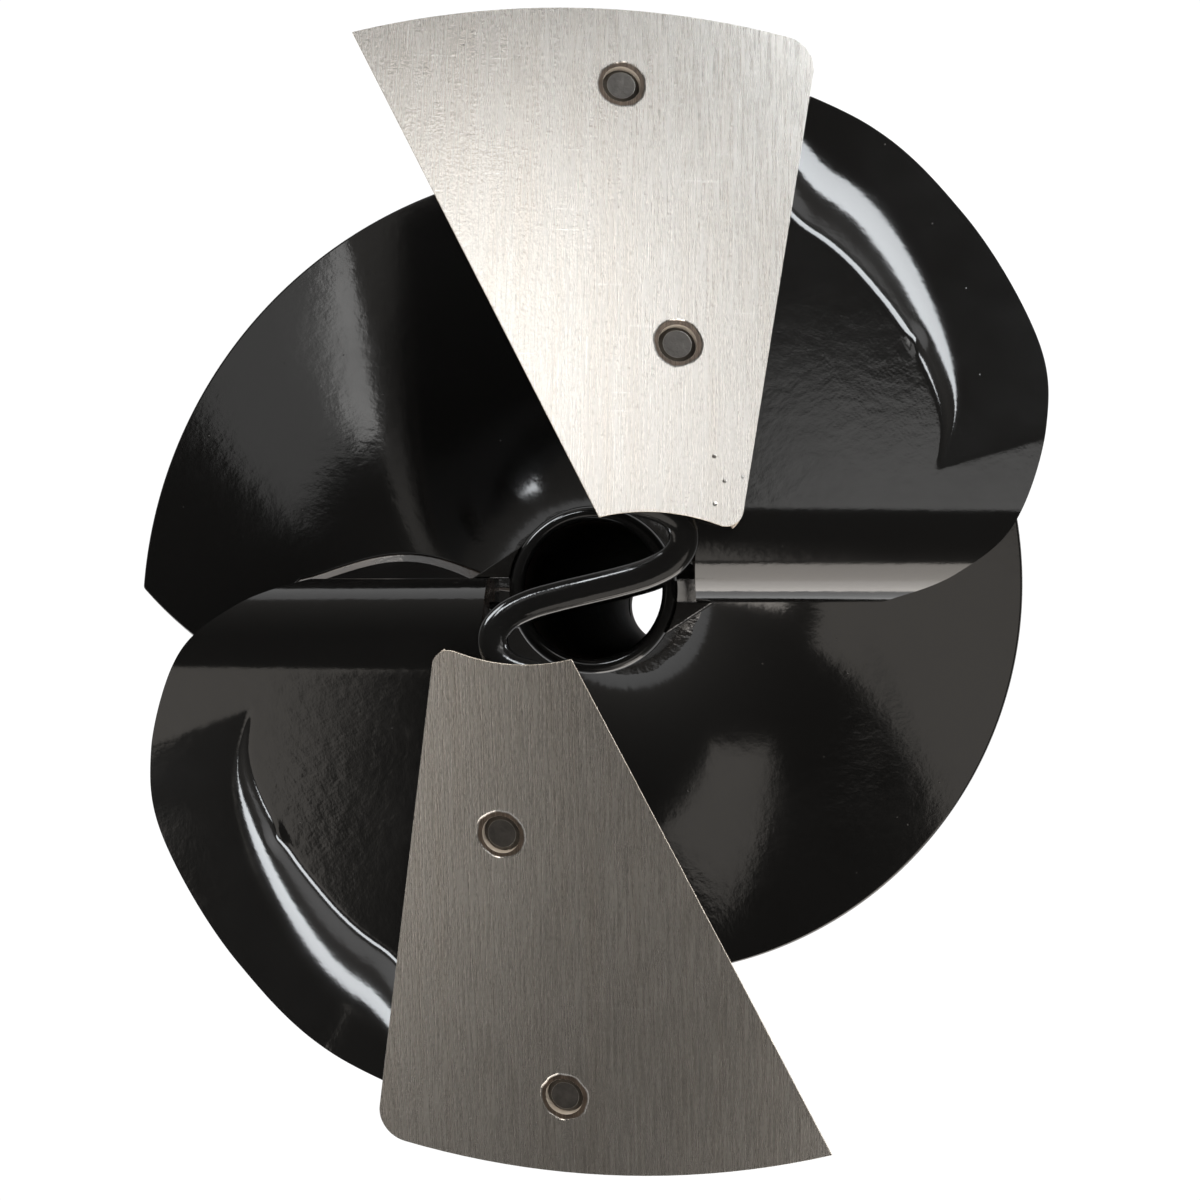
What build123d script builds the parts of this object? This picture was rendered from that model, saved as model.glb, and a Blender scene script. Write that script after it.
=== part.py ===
from build123d import *
import math
import os

# Lower unit of a hand ice auger: open centre tube, two-lobed pressed head with two bolted
# knife blades, and a two-turn flight welded up the tube. Millimetres. The Z axis is the axis
# of rotation and z = 0 is the height of the blades' inner cutting corners, the lowest points.
# Angles run from +X towards +Y, and the right-hand flight climbs as the angle grows.

# Driving dimensions
CUT_RADIUS = 101.6            # the blades' tips sweep an 8 inch hole
TUBE_RADIUS = 14.3            # 1 1/8 inch tube
TUBE_WALL = 2.6
MOUTH_Z = 20.0                # lower end of the tube
TUBE_TOP = 420.0
SOCKET_RADIUS = 12.0          # the top of the bore is reamed out for the crank's shank
SOCKET_DEPTH = 60.0

BLADE_THICKNESS = 3.0
BLADE_RELIEF = 0.2126         # rise of the blade per mm along +X (12 degrees)
BLADE_CONE = 0.268            # rise of the blade per mm outwards, along -Y (15 degrees)
BEVEL_HEIGHT = 2.7            # the knife edge is ground from the upper face
BEVEL_WIDTH = 8.0

PLATE = 4.0                   # thickness of the pressed head
ROLL_RADIUS = 13.0            # outer radius of the fold that turns a lobe up into its wall
JOINT_Z = 36.0                # top edge of the walls, where the flight starts
WEB_Z = 11.0                  # lower edge of the web that crosses the tube mouth
SEAT_GAP = 0.05

FLIGHT_RADIUS = 81.0
FLIGHT_PITCH = 131.0
FLIGHT_SHEET = 2.8
FLIGHT_START = 168.0          # angle of the first section's raw end
SECTION_ANGLE = 180.0
SECTIONS = 4
SECTION_GAP = 0.2             # angle left between one section and the next
START_CORNER = [(-81.5, 0.5), (-68.5, 14.5), (-66.0, 40.0), (-95.0, 40.0), (-95.0, 0.5)]
END_CORNER = 50.0             # radius at which the last section's corner is cut away
SPLICE_ANGLE = 4.0            # the splice welds are wedges of this angle on the upper face
SPLICE_HEIGHT = 1.2
WELD_START = 24.0             # the tube weld starts this far past the first section's raw end
WELD_LEG = 4.0

SCREW_RADIUS = 3.2
SCREW_HEAD_ACROSS = 10.0
SCREW_HEAD_HEIGHT = 4.2
SCREW_RECESS = 0.5
THREAD_RADIUS = 3.25          # threaded hole in the blade
SEAT_HOLE_RADIUS = 3.4
WASHER_RADIUS = 5.6
WASHER_THICKNESS = 1.6
SCREW_PLACES = {"outer": (4.8, -85.7), "inner": (14.6, -40.6)}

COLLAR_RADIUS = 18.0
COLLAR_LENGTH = 46.0
CROSS_HOLE_RADIUS = 4.1
CROSS_HOLE_DROP = 20.0        # below the tube's top

# Blade outline in plan, for the blade on the -Y side
INNER_LEAD = (2.25, -11.5)
TIP = (-40.0, -math.sqrt(CUT_RADIUS ** 2 - 40.0 ** 2))
OUTER_MID = (1.3, -99.3)
OUTER_TRAIL = (38.2, -94.0)
INNER_TRAIL = (24.9, -8.9)
INNER_MID = (12.0, -12.4)
OUTER_CORNER = 5.5
INNER_CORNER = 3.0

# Lobe outline in plan: the outer edge as angle and radius from the seat round to the fold,
# and the inner edge back from the fold, round the tube mouth, to the seat
OUTER_EDGE = [(-106, 91.5), (-84, 94), (-62, 94.3), (-46, 91.3), (-30, 87.2), (-20, 81.4), (-9, 71.5),
              (-2.5, 61.0), (1.5, 51.0)]
INNER_EDGE = [(17.5, -6.0), (16.8, -10.4), (13.5, -13.4), (9.0, -15.5)]
WALL_START = 17.5             # where the wall leaves the tube mouth, along X


def blade_height(x, y):
    """Height of the -Y blade's lower face over a plan point."""
    return BLADE_RELIEF * (x - INNER_LEAD[0]) + BLADE_CONE * (INNER_LEAD[1] - y)


def seat_height(x, y):
    """Height of the lobe's lower face where it lies flat on the blade's plane."""
    slope = math.sqrt(1 + BLADE_RELIEF ** 2 + BLADE_CONE ** 2)
    return blade_height(x, y) + (BLADE_THICKNESS + SEAT_GAP) * slope


def make_lobe():
    """The pressed lobe: blade seat and bowl in one plane, then the fold and the upright wall."""
    slope = math.sqrt(1 + BLADE_CONE ** 2)
    face_y, back_y = PLATE / 2, -PLATE / 2
    far = -CUT_RADIUS
    high = 2 * JOINT_Z
    corner = seat_height(0, face_y)
    inside = seat_height(0, back_y) + PLATE * slope
    rim = seat_height(0, far)
    profile = make_face(Polyline(
        (far, rim), (face_y, corner), (face_y, high), (back_y, high), (back_y, inside),
        (far, rim + PLATE * slope), close=True))
    profile = fillet(profile.vertices().sort_by_distance((face_y, corner, 0))[0], ROLL_RADIUS)
    profile = fillet(
        profile.vertices().sort_by_distance((back_y, inside, 0))[0], ROLL_RADIUS - PLATE)
    reach = 2 * CUT_RADIUS
    run = math.sqrt(1 + BLADE_RELIEF ** 2) * reach
    bar = extrude(Plane.YZ * profile, run, dir=(1, 0, BLADE_RELIEF))
    bar = Pos(-reach / 2, 0, -BLADE_RELIEF * reach / 2) * bar

    outer = []
    for angle, radius in OUTER_EDGE:
        outer.append((radius * math.cos(math.radians(angle)), radius * math.sin(math.radians(angle))))
    below = (WALL_START, PLATE)
    outline = make_face([
        Spline(*outer),
        Polyline(outer[-1], (outer[-1][0], PLATE), below, INNER_EDGE[0]),
        Spline(*INNER_EDGE),
        Line(INNER_EDGE[-1], outer[0]),
    ])
    plate = bar & extrude(outline, JOINT_Z)
    for place in SCREW_PLACES.values():
        plate -= screw_frame(place) * Pos(0, 0, 5) * Cylinder(SEAT_HOLE_RADIUS, 30)
    return plate


def blade_plane():
    """Plane of the -Y blade's lower face, with its normal upwards through the blade."""
    origin = (INNER_LEAD[0], INNER_LEAD[1], 0)
    return Plane(origin, x_dir=(1, 0, BLADE_RELIEF), z_dir=(-BLADE_RELIEF, BLADE_CONE, 1))


def on_blade(point):
    """Plane coordinates of a plan point projected straight up onto the blade plane."""
    local = blade_plane().to_local_coords(Vector(point[0], point[1], blade_height(*point)))
    return local.X, local.Y


def screw_frame(place):
    """Location on the blade's lower face at a screw, with Z up through the blade."""
    x, y = on_blade(place)
    return blade_plane().location * Pos(x, y, 0)


def make_blade():
    """Flat knife blade with a curved outer end, a hollow inner end and two threaded holes."""
    lead, tip, mid = on_blade(INNER_LEAD), on_blade(TIP), on_blade(OUTER_MID)
    trail, inner, hollow = on_blade(OUTER_TRAIL), on_blade(INNER_TRAIL), on_blade(INNER_MID)
    edges = [
        Line(lead, tip),
        ThreePointArc(tip, mid, trail),
        Line(trail, inner),
        ThreePointArc(inner, hollow, lead),
    ]
    outline = make_face(edges)
    outline = fillet(outline.vertices().sort_by_distance((trail[0], trail[1], 0))[0], OUTER_CORNER)
    outline = fillet(outline.vertices().sort_by_distance((inner[0], inner[1], 0))[0], INNER_CORNER)
    blade = blade_plane().location * extrude(outline, BLADE_THICKNESS)
    edge_angle = math.degrees(math.atan2(tip[1] - lead[1], tip[0] - lead[0]))
    wedge_profile = Polyline(
        (BEVEL_WIDTH, BLADE_THICKNESS), (BEVEL_WIDTH, 20), (-20, 20),
        (-20, BLADE_THICKNESS - BEVEL_HEIGHT), (0, BLADE_THICKNESS - BEVEL_HEIGHT), close=True)
    wedge = extrude(Plane.YZ * make_face(wedge_profile), 100, both=True)
    wedge = Pos(lead[0], lead[1], 0) * Rot(0, 0, edge_angle + 180) * wedge
    blade -= blade_plane().location * wedge
    for place in SCREW_PLACES.values():
        blade -= screw_frame(place) * Cylinder(THREAD_RADIUS, 20)
    return blade


def make_screw(place):
    """Hexagon-head screw put in from above, its chamfered point just inside the blade's face."""
    grip = BLADE_THICKNESS + SEAT_GAP + PLATE + WASHER_THICKNESS
    shank = Pos(0, 0, SCREW_RECESS) * Cylinder(
        SCREW_RADIUS, grip - SCREW_RECESS, align=(Align.CENTER, Align.CENTER, Align.MIN))
    shank = chamfer(shank.edges().sort_by(Axis.Z)[0], 0.8)
    head = Pos(0, 0, grip) * extrude(
        RegularPolygon(SCREW_HEAD_ACROSS / 2, 6, major_radius=False), SCREW_HEAD_HEIGHT)
    return screw_frame(place) * (shank + head)


def make_washer(place):
    """Split lock washer between the screw's head and the lobe."""
    ring = Cylinder(WASHER_RADIUS, WASHER_THICKNESS, align=(Align.CENTER, Align.CENTER, Align.MIN))
    ring -= Cylinder(SCREW_RADIUS + 0.1, 10)
    ring -= Pos(WASHER_RADIUS, 0, 0) * Rot(0, 35, 0) * Box(WASHER_RADIUS * 2, 0.8, 12)
    return screw_frame(place) * Pos(0, 0, BLADE_THICKNESS + SEAT_GAP + PLATE) * ring


def flight_height(angle):
    """Height of the flight's lower face at an angle; it starts on the wall at 180 degrees."""
    return JOINT_Z + (angle - 180.0) / 360.0 * FLIGHT_PITCH


def helical(profile_points, start, turn):
    """Sweeps a profile, given as radius and height, up the flight's helix from an angle."""
    profile = make_face(Plane.XZ * Polyline(*profile_points, close=True))
    path = Helix(FLIGHT_PITCH, FLIGHT_PITCH * turn / 360.0, FLIGHT_RADIUS / 2)
    body = sweep(profile, path=path, is_frenet=True)
    return Pos(0, 0, flight_height(start)) * Rot(0, 0, start) * body


def make_flight(number):
    """One half-turn flight section. The first has its lower end trimmed to the head."""
    start = FLIGHT_START + number * SECTION_ANGLE
    inside = TUBE_RADIUS + 0.02
    sheet = [(inside, 0), (FLIGHT_RADIUS, 0), (FLIGHT_RADIUS, FLIGHT_SHEET), (inside, FLIGHT_SHEET)]
    section = helical(sheet, start, SECTION_ANGLE - SECTION_GAP)
    if number == 0:
        section -= Pos(-20, 20, 30) * Box(62, 40, 60)
        section -= extrude(make_face(Polyline(*START_CORNER, close=True)), 80)
        section -= half_turn * lobe
    if number == SECTIONS - 1:
        cut = make_face(Polyline((END_CORNER, 0), (FLIGHT_RADIUS + 1, -END_CORNER / 2),
                                 (FLIGHT_RADIUS + 1, 1), (END_CORNER, 1), close=True))
        top = flight_height(start + SECTION_ANGLE)
        section -= Rot(0, 0, start + SECTION_ANGLE) * Pos(0, 0, top - 30) * extrude(cut, 60)
    return section


def make_flight_weld(number):
    """Fillet weld in the corner between the tube and the lower face of a flight section."""
    late = WELD_START if number == 0 else 0.0
    start = FLIGHT_START + number * SECTION_ANGLE + late
    turn = SECTION_ANGLE - SECTION_GAP - late
    inside = TUBE_RADIUS + 0.02
    bead = [(inside, -0.02), (inside, -WELD_LEG), (inside + 0.35 * WELD_LEG, -0.45 * WELD_LEG),
            (inside + WELD_LEG, -0.02)]
    return helical(bead, start, turn)


def make_splice(number):
    """Weld run across the butt joint between two flight sections, standing on the upper face."""
    start = FLIGHT_START + number * SECTION_ANGLE - SPLICE_ANGLE / 2
    inside, outside = TUBE_RADIUS + 1.0, FLIGHT_RADIUS - 1.0
    low, high = FLIGHT_SHEET + 0.02, FLIGHT_SHEET + SPLICE_HEIGHT
    bead = [(inside, low), (outside, low), (outside - 1, high), (inside + 1, high)]
    return helical(bead, start, SPLICE_ANGLE)


def make_tube():
    """Centre tube, open at both ends, slotted at the mouth, reamed and cross-drilled at the top."""
    length = TUBE_TOP - MOUTH_Z
    base = (Align.CENTER, Align.CENTER, Align.MIN)
    tube = Pos(0, 0, MOUTH_Z) * Cylinder(TUBE_RADIUS, length, align=base)
    tube -= Pos(0, 0, MOUTH_Z) * Cylinder(TUBE_RADIUS - TUBE_WALL, length, align=base)
    tube -= Pos(0, 0, TUBE_TOP) * Cylinder(SOCKET_RADIUS, 2 * SOCKET_DEPTH)
    tube -= Pos(0, 0, MOUTH_Z) * Box(60, PLATE, 2 * (JOINT_Z - MOUTH_Z))
    hole = Pos(0, 0, TUBE_TOP - CROSS_HOLE_DROP) * Rot(0, 90, 0) * Cylinder(CROSS_HOLE_RADIUS, 60)
    return tube - hole


def make_collar():
    """Sleeve that stiffens the tube's top round the hole for the crank's coupling bolt."""
    base = (Align.CENTER, Align.CENTER, Align.MIN)
    collar = Pos(0, 0, TUBE_TOP - COLLAR_LENGTH) * Cylinder(COLLAR_RADIUS, COLLAR_LENGTH, align=base)
    collar = chamfer(collar.edges().filter_by(GeomType.CIRCLE), 1.2)
    collar -= Pos(0, 0, TUBE_TOP) * Cylinder(TUBE_RADIUS, 4 * COLLAR_LENGTH)
    hole = Pos(0, 0, TUBE_TOP - CROSS_HOLE_DROP) * Rot(0, 90, 0) * Cylinder(CROSS_HOLE_RADIUS, 60)
    return collar - hole


def make_web():
    """Upright plate that crosses the tube mouth and joins the two lobes' walls."""
    height = JOINT_Z - WEB_Z
    web = Pos(0, 0, WEB_Z) * Box(
        2 * WALL_START - 0.1, PLATE, height, align=(Align.CENTER, Align.CENTER, Align.MIN))
    return fillet(web.edges().filter_by(Axis.X).group_by(Axis.Z)[0], 1.6)


def make_web_weld():
    """Pair of tapering welds that close the tube mouth to a point along the +X wall."""
    runs = []
    for side in (1, -1):
        edge = side * PLATE / 2
        plan = Polyline((11.0, edge), (20.5, edge), (12.0, side * 7.6), close=True)
        run = Pos(0, 0, MOUTH_Z) * extrude(make_face(plan), JOINT_Z - MOUTH_Z)
        if side < 0:
            run = run & Pos(20, 0, JOINT_Z) * Box(40, 40, 12)
        run -= Cylinder(TUBE_RADIUS, 200)
        runs += run.solids()
    return Compound(runs)


def make_start_weld(first_section):
    """Weld bead that ties the flight's lower end to the -X lobe's rolled edge."""
    first = Vector(-52.0, 2.6, JOINT_Z - 1.5)
    last = Vector(-63.0, 8.0, flight_height(FLIGHT_START + 5) - 1.0)
    bead = Solid.make_cylinder(2.2, (last - first).length, Plane(first, z_dir=last - first))
    bead = fillet(bead.edges().filter_by(GeomType.CIRCLE), 1.2)
    return bead - half_turn * lobe - first_section


os.makedirs("parts", exist_ok=True)
half_turn = Rot(0, 0, 180)
lobe = make_lobe()
blade = make_blade()
web_weld = make_web_weld()

export_step(make_tube(), "parts/centre_tube.step")
export_step(make_collar(), "parts/drive_collar.step")
export_step(make_web(), "parts/head_web.step")

for letter, place in (("a", Rot(0, 0, 0)), ("b", half_turn)):
    export_step(place * lobe, f"parts/head_lobe_{letter}.step")
    export_step(place * blade, f"parts/blade_{letter}.step")
    export_step(place * web_weld, f"parts/web_weld_{letter}.step")
    for name, spot in SCREW_PLACES.items():
        export_step(place * make_screw(spot), f"parts/blade_screw_{letter}_{name}.step")
        export_step(place * make_washer(spot), f"parts/lock_washer_{letter}_{name}.step")

for number in range(SECTIONS):
    section = make_flight(number)
    export_step(section, f"parts/flight_section_{number + 1}.step")
    if number == 0:
        export_step(make_start_weld(section), "parts/flight_start_weld.step")
    export_step(make_flight_weld(number), f"parts/flight_weld_{number + 1}.step")
    if number:
        export_step(make_splice(number), f"parts/splice_weld_{number}.step")
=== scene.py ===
import math

import bpy
from mathutils import Matrix, Vector, noise


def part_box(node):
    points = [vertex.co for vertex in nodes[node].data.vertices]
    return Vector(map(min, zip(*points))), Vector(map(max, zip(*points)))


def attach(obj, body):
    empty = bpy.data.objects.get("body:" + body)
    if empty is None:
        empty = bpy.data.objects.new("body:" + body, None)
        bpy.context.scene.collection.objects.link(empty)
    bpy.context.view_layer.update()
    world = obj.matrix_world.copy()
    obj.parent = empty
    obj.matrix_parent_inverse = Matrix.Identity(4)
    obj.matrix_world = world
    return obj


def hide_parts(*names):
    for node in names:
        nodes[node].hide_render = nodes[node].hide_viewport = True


# Lower unit of a hand ice auger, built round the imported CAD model.
# Shapes are worked out in millimetres in the row frame, and written to meshes in metres:
# +Z runs up the tube, blade a lies on the -Y side, and side b is side a turned half round.

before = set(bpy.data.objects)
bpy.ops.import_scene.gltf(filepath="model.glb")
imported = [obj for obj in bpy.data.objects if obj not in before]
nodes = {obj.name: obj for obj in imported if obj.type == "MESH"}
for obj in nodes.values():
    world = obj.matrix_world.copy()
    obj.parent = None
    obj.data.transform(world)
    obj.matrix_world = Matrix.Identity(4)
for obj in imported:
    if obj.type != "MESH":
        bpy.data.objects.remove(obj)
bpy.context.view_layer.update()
MM = 0.001                        # metres

# Driving dimensions, the same as the CAD model's
TUBE_RADIUS = 14.3
TUBE_WALL = 2.6
BLADE_THICKNESS = 3.0
BLADE_RELIEF = 0.2126
BLADE_CONE = 0.268
LEAD_X, LEAD_Y = 2.25, -11.5      # inner end of blade a's cutting edge
PLATE = 4.0
SEAT_GAP = 0.05                   # between a blade and its lobe
ROLL_RADIUS = 13.0
WALL_START, WALL_STOP = 17.5, 48.5     # the upright wall's ends along X
JOINT_Z = 36.0
FLIGHT_RADIUS = 81.0
FLIGHT_PITCH = 131.0
FLIGHT_SHEET = 2.8
FLIGHT_START = 168.0
SECTION_ANGLE = 180.0
SECTIONS = 4
WELD_LEG = 4.0
SOCKET_RADIUS = 12.0
SOCKET_DEPTH = 60.0
CROSS_HOLE_RADIUS = 4.1
CROSS_HOLE_DOWN = 20.0            # below the tube's top
TUBE_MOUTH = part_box("centre_tube")[0].z / MM
TUBE_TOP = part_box("centre_tube")[1].z / MM


# ---------------------------------------------------------------- materials

class Nodes:
    """A material's node tree, with short calls for the nodes used here."""

    def __init__(self, name):
        self.material = bpy.data.materials.new(name)
        self.material.use_nodes = True
        self.tree = self.material.node_tree
        self.shader = self.tree.nodes["Principled BSDF"]
        self.place = self.add("ShaderNodeTexCoord").outputs["Object"]

    def add(self, kind, **settings):
        node = self.tree.nodes.new(kind)
        for key, value in settings.items():
            setattr(node, key, value)
        return node

    def link(self, output, socket):
        self.tree.links.new(output, socket)

    def scaled(self, scale, turn=0.0):
        node = self.add("ShaderNodeMapping")
        node.inputs["Scale"].default_value = scale
        node.inputs["Rotation"].default_value = (0, 0, turn)
        self.link(self.place, node.inputs["Vector"])
        return node.outputs["Vector"]

    def noise(self, scale, detail=3.0, roughness=0.5, source=None):
        node = self.add("ShaderNodeTexNoise")
        node.inputs["Scale"].default_value = scale
        node.inputs["Detail"].default_value = detail
        node.inputs["Roughness"].default_value = roughness
        self.link(source or self.place, node.inputs["Vector"])
        return node.outputs["Fac"]

    def cells(self, scale):
        node = self.add("ShaderNodeTexVoronoi")
        node.inputs["Scale"].default_value = scale
        self.link(self.place, node.inputs["Vector"])
        return node.outputs["Distance"]

    def ramp(self, value, stops):
        """A value passed through two (position, shade) stops."""
        node = self.add("ShaderNodeValToRGB")
        for element, (position, shade) in zip(node.color_ramp.elements, stops):
            element.position = position
            element.color = (shade, shade, shade, 1)
        self.link(value, node.inputs["Fac"])
        return node.outputs["Color"]

    def math(self, kind, first, second):
        node = self.add("ShaderNodeMath", operation=kind)
        for socket, value in zip(node.inputs, (first, second)):
            if isinstance(value, (int, float)):
                socket.default_value = value
            else:
                self.link(value, socket)
        return node.outputs[0]

    def mix(self, factor, first, second):
        node = self.add("ShaderNodeMix", data_type="RGBA")
        self.link(factor, node.inputs[0])
        for socket, value in ((node.inputs[6], first), (node.inputs[7], second)):
            if isinstance(value, tuple):
                socket.default_value = (*value, 1)
            else:
                self.link(value, socket)
        return node.outputs[2]

    def bump(self, height, strength, distance, below=None):
        node = self.add("ShaderNodeBump")
        node.inputs["Strength"].default_value = strength
        node.inputs["Distance"].default_value = distance
        self.link(height, node.inputs["Height"])
        if below is not None:
            self.link(below, node.inputs["Normal"])
        return node.outputs["Normal"]

    def put(self, name, value):
        socket = self.shader.inputs[name]
        if isinstance(value, (int, float)):
            socket.default_value = value
        else:
            self.link(value, socket)


def black_paint():
    """Gloss black paint: orange peel, fine dust caught in it and slightly uneven gloss."""
    m = Nodes("black_gloss_paint")
    specks = m.ramp(m.cells(420), [(0.035, 1.0), (0.075, 0.0)])
    sparse = m.ramp(m.noise(150, 2), [(0.60, 0.0), (0.66, 1.0)])
    dust = m.math("MULTIPLY", specks, sparse)
    base = m.mix(m.noise(14, 3), (0.0028, 0.0028, 0.0028), (0.0060, 0.0056, 0.0052))
    m.put("Base Color", m.mix(m.math("MULTIPLY", dust, 0.5), base, (0.16, 0.15, 0.14)))
    m.put("Roughness", m.ramp(m.noise(38, 4, 0.6), [(0.3, 0.075), (0.75, 0.16)]))
    m.put("Specular IOR Level", 0.5)
    peel = m.bump(m.noise(420, 2, 0.5), 0.10, 0.00022)
    grit = m.bump(m.noise(1700, 2, 0.6), 0.06, 0.00012, peel)
    m.put("Normal", m.bump(dust, 0.5, 0.0003, grit))
    return m.material


def rough_paint():
    """The same paint over weld metal: lumpy, with ripples and spatter."""
    m = Nodes("black_paint_on_weld")
    m.put("Base Color", m.mix(m.noise(90, 4), (0.005, 0.005, 0.005), (0.016, 0.014, 0.012)))
    m.put("Roughness", m.ramp(m.noise(160, 4, 0.6), [(0.3, 0.10), (0.75, 0.28)]))
    ripple = m.bump(m.noise(330, 3, 0.55), 0.45, 0.0012)
    m.put("Normal", m.bump(m.noise(1300, 2, 0.6), 0.2, 0.0003, ripple))
    return m.material


def edge_paint():
    """Paint worn thin on the sheets' cut edges, where brown steel shows through."""
    m = Nodes("worn_edge_paint")
    worn = m.ramp(m.noise(95, 5, 0.6), [(0.40, 0.0), (0.72, 1.0)])
    m.put("Base Color", m.mix(worn, (0.012, 0.010, 0.009), (0.055, 0.038, 0.027)))
    m.put("Roughness", m.ramp(worn, [(0.0, 0.16), (1.0, 0.42)]))
    m.put("Normal", m.bump(m.noise(900, 3), 0.25, 0.0003))
    return m.material


def blade_up(letter):
    """The upward normal of a blade's faces."""
    side = 1 if letter == "a" else -1
    return Vector((-BLADE_RELIEF * side, BLADE_CONE * side, 1)).normalized()


def screw_points():
    """Centres of the four screws' lower ends, in metres."""
    centres = []
    for letter in "ab":
        up = blade_up(letter)
        for spot in ("outer", "inner"):
            corners = [v.co for v in nodes[f"blade_screw_{letter}_{spot}"].data.vertices]
            lowest = min(c.dot(up) for c in corners)
            tip = [c for c in corners if c.dot(up) < lowest + 0.1 * MM]
            low = [min(c[k] for c in tip) for k in range(3)]
            high = [max(c[k] for c in tip) for k in range(3)]
            centres.append((Vector(low) + Vector(high)) / 2)
    return centres


def round_screws(m):
    """1 within about four millimetres of a screw, with a ragged edge, and 0 beyond."""
    near = None
    for centre in screw_points():
        gap = m.add("ShaderNodeVectorMath", operation="DISTANCE")
        gap.inputs[1].default_value = centre
        m.link(m.place, gap.inputs[0])
        near = gap.outputs["Value"] if near is None else m.math("MINIMUM", near, gap.outputs["Value"])
    centimetres = m.math("MULTIPLY", near, 100.0)
    ragged = m.math("ADD", centimetres, m.math("MULTIPLY", m.noise(330, 3), 0.10))
    return m.ramp(ragged, [(0.445, 1.0), (0.475, 0.0)])


def blade_steel():
    """Rolled stainless: straight grain along Y, warm stains, pits, stray scratches and a dark
    stain round each screw."""
    m = Nodes("blade_steel")
    grain = m.noise(1.0, 4, 0.62, m.scaled((4200, 95, 160)))
    streak = m.noise(1.0, 2, 0.5, m.scaled((420, 14, 40)))
    cloud = m.noise(26, 4, 0.6)
    speckle = m.noise(1700, 2, 0.6)
    pits = m.math("MULTIPLY", m.ramp(m.cells(240), [(0.04, 1.0), (0.09, 0.0)]),
                  m.ramp(m.noise(60, 2), [(0.66, 0.0), (0.70, 1.0)]))
    scratch_a = m.noise(1.0, 1, 0.5, m.scaled((90, 2400, 90), turn=0.6))
    scratch_b = m.noise(1.0, 1, 0.5, m.scaled((2100, 70, 90), turn=0.35))
    scratches = m.math("MAXIMUM", m.ramp(scratch_a, [(0.735, 0.0), (0.76, 1.0)]),
                       m.ramp(scratch_b, [(0.735, 0.0), (0.76, 1.0)]))
    base = m.mix(cloud, (0.53, 0.50, 0.46), (0.63, 0.61, 0.585))
    base = m.mix(m.ramp(streak, [(0.45, 0.0), (0.8, 0.3)]), base, (0.50, 0.44, 0.375))
    base = m.mix(m.ramp(grain, [(0.3, 0.0), (0.8, 0.35)]), base, (0.74, 0.73, 0.71))
    base = m.mix(m.ramp(speckle, [(0.58, 0.0), (0.72, 0.45)]), base, (0.36, 0.33, 0.30))
    base = m.mix(m.math("MULTIPLY", scratches, 0.35), base, (0.85, 0.84, 0.82))
    stain = round_screws(m)
    base = m.mix(stain, base, m.mix(m.noise(600, 3), (0.022, 0.017, 0.013), (0.13, 0.095, 0.070)))
    m.put("Base Color", m.mix(pits, base, (0.07, 0.05, 0.04)))
    m.put("Metallic", m.math("SUBTRACT", 1.0, m.math("MULTIPLY", stain, 0.5)))
    rough = m.math("ADD", m.ramp(grain, [(0.2, 0.20), (0.8, 0.29)]), m.math("MULTIPLY", cloud, 0.05))
    m.put("Roughness", rough)
    normal = m.bump(grain, 0.10, 0.00014)
    normal = m.bump(speckle, 0.10, 0.0002, normal)
    normal = m.bump(m.math("SUBTRACT", 1.0, stain), 0.8, 0.0006, normal)
    m.put("Normal", m.bump(pits, 0.6, 0.0004, normal))
    return m.material


def sheared_edge():
    """The blades' sheared edges: torn grey-brown metal."""
    m = Nodes("sheared_edge")
    tear = m.noise(1.0, 5, 0.7, m.scaled((700, 700, 260)))
    m.put("Base Color", m.mix(tear, (0.34, 0.28, 0.22), (0.74, 0.67, 0.58)))
    m.put("Metallic", 0.25)
    m.put("Roughness", m.ramp(tear, [(0.3, 0.36), (0.7, 0.6)]))
    m.put("Normal", m.bump(tear, 0.6, 0.0005))
    return m.material


def screw_steel():
    """Dark oxide, rubbed lighter in places."""
    m = Nodes("screw_steel")
    rub = m.noise(520, 4, 0.6)
    m.put("Base Color", m.mix(rub, (0.035, 0.033, 0.031), (0.13, 0.12, 0.11)))
    m.put("Metallic", 0.85)
    m.put("Roughness", m.ramp(rub, [(0.3, 0.30), (0.75, 0.52)]))
    m.put("Normal", m.bump(m.noise(900, 3), 0.35, 0.0003))
    return m.material


def washer_steel():
    """Dull zinc for the lock washers. On the screws' rounded rims the same brighter zinc is a painted
    highlight, standing in for the bright ring of light round each screw.
    """
    m = Nodes("washer_steel")
    tone = m.noise(420, 3)
    m.put("Base Color", m.mix(tone, (0.30, 0.29, 0.27), (0.52, 0.51, 0.48)))
    m.put("Metallic", 1.0)
    m.put("Roughness", m.ramp(tone, [(0.3, 0.28), (0.7, 0.42)]))
    m.put("Normal", m.bump(m.noise(1200, 2), 0.2, 0.0002))
    return m.material


def bore_oxide():
    """The tube's bare inside, dull and dark with brown oxide."""
    m = Nodes("tube_bore_oxide")
    rust = m.noise(120, 4, 0.6)
    m.put("Base Color", m.mix(rust, (0.006, 0.005, 0.004), (0.035, 0.022, 0.014)))
    m.put("Roughness", m.ramp(rust, [(0.3, 0.75), (0.7, 0.95)]))
    m.put("Specular IOR Level", 0.12)
    m.put("Normal", m.bump(m.noise(700, 3), 0.5, 0.0005))
    return m.material


PAINT = black_paint()
WELD_PAINT = rough_paint()
EDGE_PAINT = edge_paint()
STEEL = blade_steel()
SHEARED = sheared_edge()
SCREW = screw_steel()
WASHER_AND_RIM_HIGHLIGHT = washer_steel()
BORE = bore_oxide()


# ---------------------------------------------------------------- mesh helpers

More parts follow.
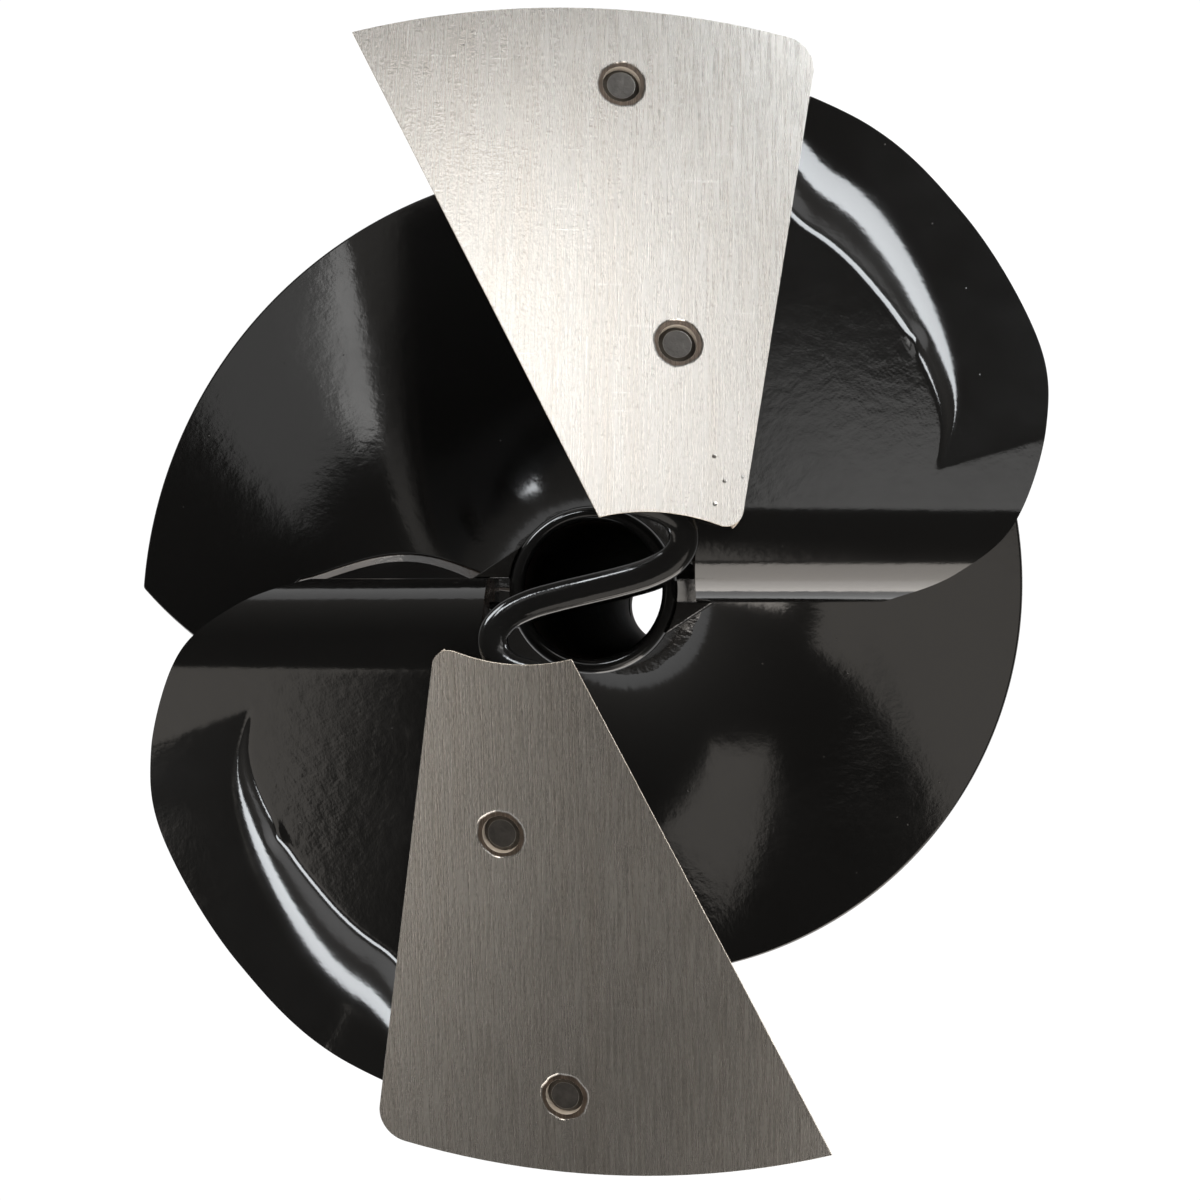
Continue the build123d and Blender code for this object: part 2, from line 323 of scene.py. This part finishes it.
def piece(name, points, faces, materials, replaced, shades=None):
    """A finished piece from points in millimetres, riding on the root body in place of a node."""
    mesh = bpy.data.meshes.new(name)
    mesh.from_pydata([Vector(p) * MM for p in points], [], faces)
    for material in materials:
        mesh.materials.append(material)
    if shades:
        mesh.polygons.foreach_set("material_index", shades)
    mesh.shade_smooth()
    mesh.validate()
    thing = bpy.data.objects.new(name, mesh)
    bpy.context.scene.collection.objects.link(thing)
    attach(thing, "root")
    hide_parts(replaced)
    return thing


def soften(thing, width, segments=3, angle=35.0):
    """Rounds the edges that are sharper than the angle, and keeps flat faces flat."""
    bevel = thing.modifiers.new("soft_edges", "BEVEL")
    bevel.width = width * MM
    bevel.segments = segments
    bevel.limit_method = "ANGLE"
    bevel.angle_limit = math.radians(angle)
    bevel.harden_normals = True
    return thing


def sheet_from_grid(grid, thickness):
    """Points and faces of a closed sheet, with a flag on each face that is part of its edge.
    The grid is the lower face, and the upper face stands off it along the surface normal."""
    rows, columns = len(grid), len(grid[0])
    lower = [Vector(p) for row in grid for p in row]
    normals = []
    for i in range(rows):
        for j in range(columns):
            ahead = Vector(grid[min(i + 1, rows - 1)][j]) - Vector(grid[max(i - 1, 0)][j])
            aside = Vector(grid[i][min(j + 1, columns - 1)]) - Vector(grid[i][max(j - 1, 0)])
            normals.append(ahead.cross(aside).normalized())
    upper = [p + n * thickness for p, n in zip(lower, normals)]
    count = rows * columns
    faces, flags = [], []
    for i in range(rows - 1):
        for j in range(columns - 1):
            a = i * columns + j
            b, c, d = a + 1, a + columns + 1, a + columns
            faces += [(a, b, c, d), (a + count, d + count, c + count, b + count)]
            flags += [0, 0]
    rim = list(range(columns))
    rim += [i * columns + columns - 1 for i in range(1, rows)]
    rim += [(rows - 1) * columns + j for j in range(columns - 2, -1, -1)]
    rim += [i * columns for i in range(rows - 2, 0, -1)]
    for a, b in zip(rim, rim[1:] + rim[:1]):
        faces.append((b, a, a + count, b + count))
        flags.append(1)
    return lower + upper, faces, flags


def half_turned(points):
    """The points turned half round the tube's axis."""
    return [(-p[0], -p[1], p[2]) for p in points]


def smooth(value, low, high):
    """Rises from 0 at low to 1 at high, level at both ends."""
    share = min(max((value - low) / (high - low), 0.0), 1.0)
    return share * share * (3 - 2 * share)


def along_line(points, share):
    """Catmull-Rom point at a share, from 0 to 1, of a line of evenly weighted points."""
    last = len(points) - 1
    place = min(max(share, 0.0), 1.0) * last
    i = min(int(place), last - 1)
    t = place - i
    quad = (points[max(i - 1, 0)], points[i], points[i + 1], points[min(i + 2, last)])
    result = []
    for a, b, c, d in zip(*quad):
        cubic = 3 * b - a - 3 * c + d
        square = 2 * a - 5 * b + 4 * c - d
        result.append(0.5 * (2 * b + (c - a) * t + square * t * t + cubic * t ** 3))
    return result


# ---------------------------------------------------------------- pressed head

SEAT_TILT = math.atan(BLADE_CONE)
WALL_FACE = PLATE / 2         # y of the upright wall, where the roll ends
ROLL_BEGIN = WALL_FACE - ROLL_RADIUS * (1 + math.sin(SEAT_TILT))
ROLL_LENGTH = ROLL_RADIUS * (math.pi / 2 + SEAT_TILT)
RIM_SHARE = 0.30              # share of the lobe's width that lies outside the crease
STEP_WIDTH = 17.0             # the plate steps up outside the crease over this width,
STEP_SLOPE = 0.62             # starting at this slope,
STEP_FROM, STEP_END = 0.20, 0.465      # and the step narrows to nothing between these shares
STEP_BEND = 1.5               # the step's slope comes in over this width,
STEP_LEAD = 0.9               # beginning this far inside the crease
PUCKER_AT, PUCKER_OUT = 0.315, 0.8     # a dimple beside the crease: its place along and out,
PUCKER_ALONG, PUCKER_ACROSS = 0.008, 1.3       # its spread along and out,
PUCKER_DEPTH = 0.55                    # and its depth
OUTER_POLAR = [(-106, 91.5), (-84, 94), (-62, 94.3), (-46, 91.3), (-30, 87.2), (-20, 81.4),
               (-9, 71.5), (-2.5, 61.0), (1.5, 51.0)]
INNER_PLAN = [(9.0, -15.5), (11.6, -14.8), (13.8, -13.6), (15.6, -12.0), (16.9, -10.2),
              (17.5, -8.0), (17.6, -6.0), (17.5, -3.0), (17.5, 0.5)]
WALL_STEPS = 3
ALONG, ACROSS = 220, 110


def seat_height(x, y):
    """The lobe's lower face over the plane of blade a."""
    slope = math.sqrt(1 + BLADE_RELIEF ** 2 + BLADE_CONE ** 2)
    plane = BLADE_RELIEF * (x - LEAD_X) + BLADE_CONE * (LEAD_Y - y)
    return plane + (BLADE_THICKNESS + SEAT_GAP) * slope


def unrolled(x, y):
    """The flat blank's coordinates of a plan point on the lobe."""
    if y <= ROLL_BEGIN:
        return x, y
    turn = math.asin(min((y - ROLL_BEGIN) / ROLL_RADIUS - math.sin(SEAT_TILT), 1.0))
    return x, ROLL_BEGIN + ROLL_RADIUS * (turn + SEAT_TILT)


def rolled(x, flat):
    """The pressed lobe's lower face at a point of the flat blank."""
    past = flat - ROLL_BEGIN
    base = seat_height(x, min(flat, ROLL_BEGIN))
    if past <= 0:
        return x, flat, base
    turn = min(past, ROLL_LENGTH) / ROLL_RADIUS - SEAT_TILT
    y = ROLL_BEGIN + ROLL_RADIUS * (math.sin(turn) + math.sin(SEAT_TILT))
    z = base + ROLL_RADIUS * (math.cos(SEAT_TILT) - math.cos(turn))
    return x, y, z + max(past - ROLL_LENGTH, 0.0)


def wall_line(x):
    """Points of the flat blank from the end of the roll to the top of the wall."""
    start = ROLL_BEGIN + ROLL_LENGTH
    top = rolled(x, start)[2]
    rise = JOINT_Z - top
    return [(x, start + rise * (k + 0.4) / (WALL_STEPS - 0.6)) for k in range(WALL_STEPS)]


def lobe_lines():
    """The lobe's outer and inner edges on the flat blank, each from the seat to the wall's top."""
    outer = []
    for angle, radius in OUTER_POLAR:
        turn = math.radians(angle)
        outer.append(unrolled(radius * math.cos(turn), radius * math.sin(turn)))
    outer += wall_line(WALL_STOP)
    inner = [unrolled(*p) for p in INNER_PLAN] + wall_line(WALL_START)
    return outer, inner


def lobe_point(outer, inner, along, across):
    """Lower face of lobe a: along runs from the seat to the wall, across runs outwards."""
    far = along_line(outer, along)
    near = along_line(inner, along)
    flat_x = near[0] + (far[0] - near[0]) * across
    flat_y = near[1] + (far[1] - near[1]) * across
    x, y, z = rolled(flat_x, flat_y)
    share = RIM_SHARE * smooth(along, 0.06, 0.19)
    out = (across - 1 + share) * math.hypot(far[0] - near[0], far[1] - near[1])
    return x, y, z + step_height(along, out)


def step_height(along, out):
    """Rise of the plate outside the crease, at a distance out from the crease."""
    width = STEP_WIDTH * min((STEP_END - along) / (STEP_END - STEP_FROM), 1.0)
    width *= 1 + 0.05 * noise.noise(Vector((along * 22, 0.4, 0.0)))
    if width <= 0.05 or out <= -1.0:
        return 0.0
    u = max(out + STEP_LEAD, 0.0) / width
    bend = min(STEP_BEND / width, 0.45)
    if u < bend:
        rise = u * u / (2 * bend)
    else:
        v = min((u - bend) / (1 - bend), 1.0)
        rise = bend / 2 + (1 - bend) * (v - v ** 3 + v ** 4 / 2)
    rise *= STEP_SLOPE * width * smooth(along, 0.07, 0.15)
    near_pucker = math.exp(-((along - PUCKER_AT) / PUCKER_ALONG) ** 2
                           - ((out - PUCKER_OUT) / PUCKER_ACROSS) ** 2)
    return rise - PUCKER_DEPTH * near_pucker


def build_lobes():
    """Both pressed lobes: a bowl, a raised rim outside a crease, and the roll up to the wall."""
    outer, inner = lobe_lines()
    grid = []
    for i in range(ALONG + 1):
        row = [lobe_point(outer, inner, i / ALONG, j / ACROSS) for j in range(ACROSS, -1, -1)]
        grid.append(row)
    points, faces, flags = sheet_from_grid(grid, PLATE)
    for letter, place in (("a", list), ("b", half_turned)):
        lobe = piece(f"pressed_lobe_{letter}", place(points), faces, [PAINT, EDGE_PAINT],
                     f"head_lobe_{letter}", flags)
        soften(lobe, 0.9)


# The web's lower edge is a rounded S: it comes from under blade a, rounds the mouth's +X end,
# crosses the mouth, rounds the -X end and goes under blade b.
WEB_WIDTH = 4.9
WEB_SAG = 0.45                # how round its lower edge is: 1 is a half circle
LIP_HEIGHT = 4.2
UPRIGHT_TO, LIP_FROM = 13.0, 17.0      # reach at which the web stops being full height, and is a lip
WEB_HALF_PATH = [(0.0, 0.0, 8.2), (5.0, -1.2, 8.0), (9.8, -2.6, 7.6), (13.6, -4.6, 7.0),
                 (15.6, -7.4, 6.4), (15.2, -10.6, 5.9), (12.6, -13.0, 5.2), (8.0, -14.4, 4.4)]


def build_web():
    """Upright S-shaped web with a rounded lower edge, low where it becomes the lobes' lips."""
    half = [Vector(p) for p in WEB_HALF_PATH]
    path = [Vector((-p.x, -p.y, p.z)) for p in reversed(half[1:])] + half
    steps, ring = 150, 14
    points, faces = [], []
    centre = [Vector(along_line(path, i / steps)) for i in range(steps + 1)]
    for i, spot in enumerate(centre):
        ahead = centre[min(i + 1, steps)] - centre[max(i - 1, 0)]
        side = Vector((-ahead.y, ahead.x, 0)).normalized()
        reach = abs(spot.x) + abs(spot.y)
        upright = 1 - smooth(reach, UPRIGHT_TO, LIP_FROM)
        height = LIP_HEIGHT + (JOINT_Z - spot.z - LIP_HEIGHT) * upright
        half_width = WEB_WIDTH / 2
        for k in range(ring + 1):
            turn = math.pi * k / ring
            sag = half_width * WEB_SAG * (1 - math.sin(turn))
            points.append(spot + side * half_width * math.cos(turn) + Vector((0, 0, sag)))
        points.append(spot - side * half_width + Vector((0, 0, height)))
        points.append(spot + side * half_width + Vector((0, 0, height)))
    loop = ring + 3
    for i in range(steps):
        for k in range(loop):
            a, b = i * loop + k, i * loop + (k + 1) % loop
            faces.append((a, b, b + loop, a + loop))
    faces.append(tuple(range(loop - 1, -1, -1)))
    faces.append(tuple(steps * loop + k for k in range(loop)))
    web = piece("s_web", points, faces, [PAINT], "head_web")
    soften(web, 0.4, 2, 60)


# ---------------------------------------------------------------- tube, flight and welds

WALL_END = 53.0               # the flight's lower end lies along the lobe's wall out to here,
PAST_WALL = 60.0              # and from here on it runs down past the wall
PAST_ANGLE = 9.0
BOW, BOW_FROM, BOW_LENGTH = 4.6, 17.0, 36.0    # it bows clear of the wall near the tube
CORNER_FROM, CORNER_ANGLE = 68.0, 9.5          # and its outer corner is cut off
ROUND_FROM, ROUND_ANGLE = 50.0, 14.0           # the upper end is rounded off outside a radius


def flight_height(angle):
    """The flight's lower face at an angle round the tube, in degrees."""
    return JOINT_Z + (angle - 180.0) / 360.0 * FLIGHT_PITCH


def polar(radius, angle, z):
    """A point from its radius, angle in degrees and height."""
    turn = math.radians(angle)
    return radius * math.cos(turn), radius * math.sin(turn), z


def revolve(profile, steps):
    """A closed ring from a closed profile of (radius, z) points."""
    points, faces = [], []
    count = len(profile)
    for i in range(steps):
        for radius, z in profile:
            points.append(polar(radius, 360.0 * i / steps, z))
    for i in range(steps):
        for k in range(count):
            a, b = i * count + k, i * count + (k + 1) % count
            c, d = (i + 1) % steps * count + k, (i + 1) % steps * count + (k + 1) % count
            faces.append((a, c, d, b))
    return points, faces


def build_tube():
    """Open tube with a rounded mouth, the reamed socket at its top, and the cross hole for the
    coupling bolt."""
    outer, inner = TUBE_RADIUS, TUBE_RADIUS - TUBE_WALL
    middle, lip = (outer + inner) / 2, TUBE_WALL / 2
    profile = []
    for k in range(9):
        turn = math.pi * k / 8
        profile.append((middle - lip * math.cos(turn), TUBE_MOUTH + lip * (1 - math.sin(turn))))
    heights = [TUBE_MOUTH + 6, TUBE_MOUTH + 30, 200, TUBE_TOP - 26, TUBE_TOP - 14, TUBE_TOP - 0.8]
    profile += [(outer, z) for z in heights]
    profile += [(outer - 0.8, TUBE_TOP), (SOCKET_RADIUS + 0.8, TUBE_TOP)]
    inner_start = len(profile)
    shoulder = TUBE_TOP - SOCKET_DEPTH
    profile += [(SOCKET_RADIUS, z) for z in (TUBE_TOP - 0.8, TUBE_TOP - 14, TUBE_TOP - 26, shoulder)]
    profile += [(inner, z) for z in (shoulder, 200, TUBE_MOUTH + 30, TUBE_MOUTH + 6)]
    points, faces = revolve(profile, 96)
    count = len(profile)
    shades = [int(k % count >= inner_start) for k in range(len(faces))]
    tube = piece("open_tube", points, faces, [PAINT, BORE], "centre_tube",
                 shades)
    drill = tube.modifiers.new("cross_hole", "BOOLEAN")
    bpy.ops.mesh.primitive_cylinder_add(vertices=48, radius=CROSS_HOLE_RADIUS * MM, depth=0.06,
                                        location=(0, 0, (TUBE_TOP - CROSS_HOLE_DOWN) * MM),
                                        rotation=(0, math.pi / 2, 0))
    cutter = bpy.context.object
    drill.object = cutter
    drill.solver = "EXACT"
    bpy.context.view_layer.objects.active = tube
    bpy.ops.object.modifier_apply(modifier="cross_hole")
    bpy.data.objects.remove(cutter)
    soften(tube, 0.3, 2, 50)


def build_flight(number):
    """One half-turn section of the flight. Its rows run from the outer edge in to the tube."""
    first = FLIGHT_START + number * SECTION_ANGLE
    last = first + SECTION_ANGLE
    inside = TUBE_RADIUS - 0.2        # let into the tube a little
    rows, columns = 150, 36
    grid = []
    for i in range(rows + 1):
        share = i / rows
        row = []
        for j in range(columns, -1, -1):
            radius = inside + (FLIGHT_RADIUS - inside) * j / columns
            low, high = first, last
            if number == 0:
                low = lower_end(radius)
            if number == SECTIONS - 1:
                high = last - upper_end(radius)
            angle = low + (high - low) * share
            row.append(polar(radius, angle, flight_height(angle)))
        grid.append(row)
    points, faces, flags = sheet_from_grid(grid, FLIGHT_SHEET)
    thing = piece(f"flight_{number + 1}", points, faces, [PAINT, EDGE_PAINT],
                  f"flight_section_{number + 1}", flags)
    soften(thing, 0.6, 2)


def lower_end(radius):
    """Angle at which the flight begins: along the wall, bowed clear of it near the tube, then
    down past it outside the lobe to a cut corner."""
    share = min(max((radius - BOW_FROM) / BOW_LENGTH, 0.0), 1.0)
    bow = BOW * math.sin(math.pi * share) ** 1.3
    if radius < WALL_END:
        return 180.0 + math.degrees(math.asin((WALL_FACE + bow) / radius))
    past = smooth(radius, WALL_END, PAST_WALL)
    angle = 180.0 + math.degrees(math.asin(WALL_FACE / radius)) * (1 - past) - PAST_ANGLE * past
    return angle + CORNER_ANGLE * max(radius - CORNER_FROM, 0.0) / (FLIGHT_RADIUS - CORNER_FROM)


def upper_end(radius):
    """How many degrees short of its last angle the flight ends."""
    return ROUND_ANGLE * (max(radius - ROUND_FROM, 0.0) / (FLIGHT_RADIUS - ROUND_FROM)) ** 2


def build_flight_weld(number):
    """Fillet weld under the flight, uneven and rippled as a hand-laid bead is, and roughest
    where the flight starts."""
    late = 14.0 if number == 0 else 0.0       # the first bead begins past the start weld
    first = FLIGHT_START + number * SECTION_ANGLE + late
    last = FLIGHT_START + (number + 1) * SECTION_ANGLE
    rows, ring = 220, 8
    points, faces = [], []
    for i in range(rows + 1):
        angle = first + (last - first) * i / rows
        z = flight_height(angle)
        wobble = noise.noise(Vector((angle * 0.07, number * 5.0, 0.3)))
        ripple = noise.noise(Vector((angle * 0.55, 7.0, number)))
        rough = 1.0 + 0.9 * max(0.0, 1 - (angle - FLIGHT_START) / 95.0)
        leg = WELD_LEG * (1.0 + 0.22 * wobble * rough + 0.07 * ripple * rough) + (rough - 1) * 1.4
        points.append(polar(TUBE_RADIUS - 0.3, angle, z + 0.4))
        for k in range(ring + 1):
            turn = math.pi / 2 * k / ring
            out = TUBE_RADIUS + leg * (1 - math.sin(turn)) - 0.25
            down = leg * (1 - math.cos(turn)) - 0.25
            points.append(polar(out, angle, z - down))
    loop = ring + 2
    for i in range(rows):
        for k in range(loop):
            a, b = i * loop + k, i * loop + (k + 1) % loop
            faces.append((a, a + loop, b + loop, b))
    faces.append(tuple(range(loop)))
    faces.append(tuple(rows * loop + k for k in range(loop - 1, -1, -1)))
    piece(f"tube_weld_{number + 1}", points, faces, [WELD_PAINT],
          f"flight_weld_{number + 1}")


# ---------------------------------------------------------------- parts kept from the CAD

def from_cad(node, name, materials, edge, choose=None, rim=-1):
    """A copy of a CAD node with rounded edges and its own materials, standing for the node.
    The rim is the rounded edges' material, or -1 for that of the faces beside them."""
    mesh = nodes[node].data.copy()
    thing = bpy.data.objects.new(name, mesh)
    bpy.context.scene.collection.objects.link(thing)
    mesh.materials.clear()
    for material in materials:
        mesh.materials.append(material)
    weld = thing.modifiers.new("joined", "WELD")
    weld.merge_threshold = 0.01 * MM
    bpy.context.view_layer.objects.active = thing
    bpy.ops.object.modifier_apply(modifier="joined")
    for polygon in mesh.polygons:
        polygon.material_index = choose(polygon) if choose else 0
        polygon.use_smooth = True
    if "custom_normal" in mesh.attributes:
        mesh.attributes.remove(mesh.attributes["custom_normal"])
    soften(thing, edge, 3, 30).modifiers["soft_edges"].material = rim
    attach(thing, "root")
    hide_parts(node)
    return thing


def build_blades():
    """The blades, rolled on their faces and sheared at their ends, with screws and washers."""
    for letter in "ab":
        up = blade_up(letter)
        from_cad(f"blade_{letter}", f"knife_blade_{letter}", [STEEL, SHEARED], 0.28,
                 choose=lambda polygon: int(abs(polygon.normal.dot(up)) <= 0.8))
        for spot in ("outer", "inner"):
            # The screws' rounded rims take the brighter zinc as a painted highlight ring.
            from_cad(f"blade_screw_{letter}_{spot}", f"screw_{letter}_{spot}", [SCREW, WASHER_AND_RIM_HIGHLIGHT],
                     0.16, rim=1)
            from_cad(f"lock_washer_{letter}_{spot}", f"washer_{letter}_{spot}", [WASHER_AND_RIM_HIGHLIGHT],
                     0.15)


def paint_cad(node, material):
    """Keeps a CAD node as it is, with one of the materials above."""
    thing = nodes[node]
    thing.data.materials.clear()
    thing.data.materials.append(material)


build_lobes()
build_web()
build_tube()
for number in range(SECTIONS):
    build_flight(number)
    build_flight_weld(number)
build_blades()
paint_cad("drive_collar", PAINT)
for node in ("web_weld_a", "web_weld_b", "flight_start_weld", "splice_weld_1", "splice_weld_2",
             "splice_weld_3"):
    from_cad(node, f"bead_{node}", [WELD_PAINT], 0.3)


# ---------------------------------------------------------------- stage, lights and camera

WATTS_PER_RADIANCE = 4.0      # for each square metre of an area light
HEAD_MIDDLE = Vector((0, 0, 0.02))


def emission(name, strength):
    """A material that only glows, for a surface behind the part."""
    material = bpy.data.materials.new(name)
    material.use_nodes = True
    tree = material.node_tree
    tree.nodes.clear()
    glow = tree.nodes.new("ShaderNodeEmission")
    glow.inputs["Strength"].default_value = strength
    out = tree.nodes.new("ShaderNodeOutputMaterial")
    tree.links.new(glow.outputs[0], out.inputs[0])
    return material


def plane(name, z, size, material):
    """A level square of the stage."""
    bpy.ops.mesh.primitive_plane_add(size=size, location=(0, 0, z))
    thing = bpy.context.object
    thing.name = name
    thing.data.materials.append(material)
    return thing


def softbox(name, direction, distance, width, height, radiance, colour):
    """A soft area light in a direction from the head, level along X, of a given radiance."""
    light = bpy.data.lights.new(name, "AREA")
    light.shape = "RECTANGLE"
    light.size, light.size_y = width, height
    light.energy = WATTS_PER_RADIANCE * width * height * radiance
    light.color = colour
    back = Vector(direction).normalized()
    level = (Vector((1, 0, 0)) - back * back.x).normalized()
    turn = Matrix((level, back.cross(level), back)).transposed().to_4x4()
    thing = bpy.data.objects.new(name, light)
    thing.matrix_world = Matrix.Translation(HEAD_MIDDLE + back * distance) @ turn
    bpy.context.scene.collection.objects.link(thing)
    return thing


def studio_world():
    """Pale surroundings above the horizon, darker towards the cutting end below."""
    world = bpy.data.worlds.new("studio")
    world.use_nodes = True
    tree = world.node_tree
    place = tree.nodes.new("ShaderNodeTexCoord")
    split = tree.nodes.new("ShaderNodeSeparateXYZ")
    ramp = tree.nodes.new("ShaderNodeMapRange")
    for name, value in (("From Min", -0.72), ("From Max", 0.3), ("To Min", 0.05), ("To Max", 0.32)):
        ramp.inputs[name].default_value = value
    tree.links.new(place.outputs["Generated"], split.inputs[0])
    tree.links.new(split.outputs["Z"], ramp.inputs["Value"])
    tree.links.new(ramp.outputs[0], tree.nodes["Background"].inputs["Strength"])
    tree.nodes["Background"].inputs["Color"].default_value = (1.0, 0.955, 0.89, 1)
    bpy.context.scene.world = world


def build_stage():
    """A glowing white backdrop past the drive end, and a pale floor under the cutting end."""
    plane("backdrop", 2.2, 40.0, emission("white_backdrop", 1.05))
    pale = bpy.data.materials.new("pale_floor")
    pale.use_nodes = True
    shader = pale.node_tree.nodes["Principled BSDF"]
    shader.inputs["Base Color"].default_value = (0.75, 0.75, 0.74, 1)
    shader.inputs["Roughness"].default_value = 0.9
    studio_world()
    plane("floor", -1.6, 40.0, pale).visible_glossy = False


def light_only(light, names):
    """Lets a light fall on the named pieces only."""
    lit = bpy.data.collections.new(f"lit_by_{light.name}")
    for name in names:
        lit.objects.link(bpy.data.objects[name])
    light.light_linking.receiver_collection = lit


def build_lights():
    """Softboxes below the head and level with it, each for one stretch of gloss or one edge."""
    soft = (1.0, 0.99, 0.975)
    warm = (1.0, 0.935, 0.86)
    cool = (0.93, 0.97, 1.0)
    softbox("key_hot", (0.31, -0.76, -1.0), 1.00, 0.17, 0.27, 2.2, soft)
    softbox("key_wide", (0.66, -0.62, -1.0), 1.05, 0.24, 0.235, 1.3, soft)
    softbox("key_glow", (0.16, -0.68, -1.0), 1.20, 0.52, 0.42, 0.75, soft)
    softbox("low_glow", (0.14, 0.91, -1.0), 1.20, 0.66, 0.66, 0.85, warm)
    softbox("low_left", (-1.10, 0.75, -1.0), 1.20, 0.36, 0.46, 0.9, warm)
    softbox("low_horizon", (0.28, 1.0, 0.05), 1.20, 0.80, 1.25, 3.2, warm)
    softbox("band_right", (0.60, -0.75, -0.25), 0.50, 0.22, 0.17, 11, cool)
    band_left = softbox("band_left", (-0.68, 0.70, -0.22), 0.50, 0.20, 0.11, 11, cool)
    light_only(band_left, ("pressed_lobe_a", "pressed_lobe_b", "s_web", "open_tube"))
    mouth_glint = softbox("mouth_glint", (-0.30, -0.75, -1.00), 1.00, 0.22, 0.10, 14, cool)
    light_only(mouth_glint, ("s_web", "open_tube"))
    lip_glint = softbox("lip_glint", (-0.62, -0.72, -0.55), 0.80, 0.34, 0.20, 12, cool)
    light_only(lip_glint, ("s_web", "open_tube"))
    for letter, side in (("a", 1), ("b", -1)):
        fill = softbox(f"edge_fill_{letter}", (0.10 * side, side, -0.35), 0.60, 0.30, 0.30, 7, warm)
        fill.data.use_shadow = False
        light_only(fill, (f"knife_blade_{letter}",))


build_stage()
build_lights()
bpy.context.scene.view_settings.view_transform = "Standard"

SENSOR_WIDTH = 36.0
FOCAL_SHARE = 2.07            # focal length over frame width
DISTANCE = 0.40               # camera to the plane of the lowest cutting corners
LOOK_ASIDE, LOOK_DOWN = 3.41, 0.51         # degrees between the view and the tube's axis
AIM_RIGHT, AIM_DOWN = -2.4, -1.9           # millimetres the axis stands off the aim


def build_camera():
    """Looks up the tube's axis from the cutting end, a few degrees off it."""
    data = bpy.data.cameras.new("camera")
    data.sensor_width = SENSOR_WIDTH
    data.lens = SENSOR_WIDTH * FOCAL_SHARE
    data.clip_start, data.clip_end = 0.01, 50
    aside, lower = math.tan(math.radians(LOOK_ASIDE)), math.tan(math.radians(LOOK_DOWN))
    forward = Vector((-aside, -lower, 1)).normalized()
    right = (Vector((1, 0, 0)) - forward * forward.x).normalized()
    down = forward.cross(right)
    aim = (right * AIM_RIGHT + down * AIM_DOWN) * MM
    turn = Matrix((right, -down, -forward)).transposed().to_4x4()
    camera = bpy.data.objects.new("camera", data)
    camera.matrix_world = Matrix.Translation(-forward * DISTANCE - aim) @ turn
    bpy.context.scene.collection.objects.link(camera)
    bpy.context.scene.camera = camera


build_camera()
